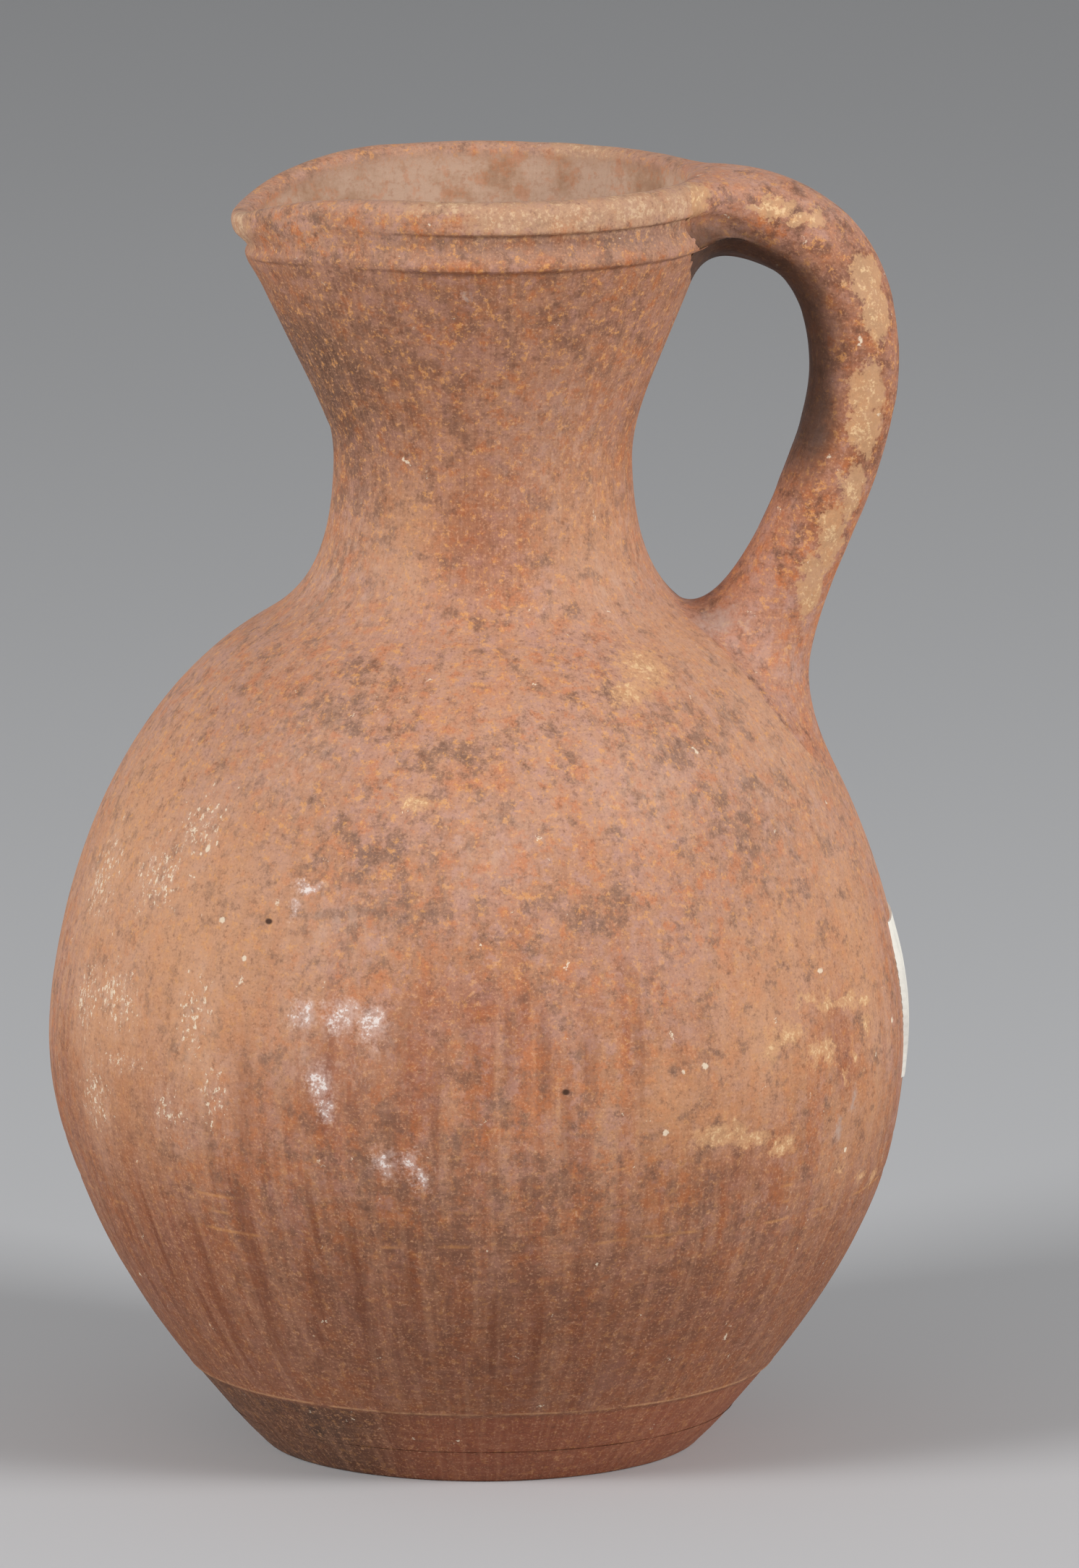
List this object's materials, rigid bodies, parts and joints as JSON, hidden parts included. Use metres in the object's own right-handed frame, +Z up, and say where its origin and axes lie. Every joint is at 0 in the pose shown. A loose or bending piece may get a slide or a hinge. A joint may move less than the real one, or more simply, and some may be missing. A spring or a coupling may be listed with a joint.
{
  "type": "jug",
  "caption": "Round-bellied burnished clay jug with a narrow neck, a flared mouth with a pulled pouring lip, one loop handle and a flat base.",
  "frame": {"origin": "middle of the flat base, on the plane that the jug rests on", "axes": "+Z up along the jug's axis, +X towards the handle, -X towards the pouring lip"},
  "size_m": [0.1377, 0.137, 0.205],
  "materials": {
    "foot_slip": "burnished slip, redder and darker, with drips and scuffs",
    "burnished_slip": "red-brown burnished slip, satin, with dark mottling and pale grits",
    "worn_rim_slip": "burnished slip worn to buff clay along the lip",
    "worn_handle_slip": "burnished slip worn to buff clay where hands and shelves rub",
    "paper": "aged white paper, matt, blank"
  },
  "bodies": {
    "root": {"base_disc": "foot_slip", "lower_wall": "foot_slip", "lower_belly": "burnished_slip", "upper_belly": "burnished_slip", "shoulder": "burnished_slip", "neck_root": "burnished_slip", "neck": "burnished_slip", "mouth_funnel": "burnished_slip", "rim_band": "worn_rim_slip", "handle": "worn_handle_slip", "upper_handle_luting": "worn_handle_slip", "lower_handle_luting": "worn_handle_slip", "paper_label": "paper"}
  },
  "joints": []
}
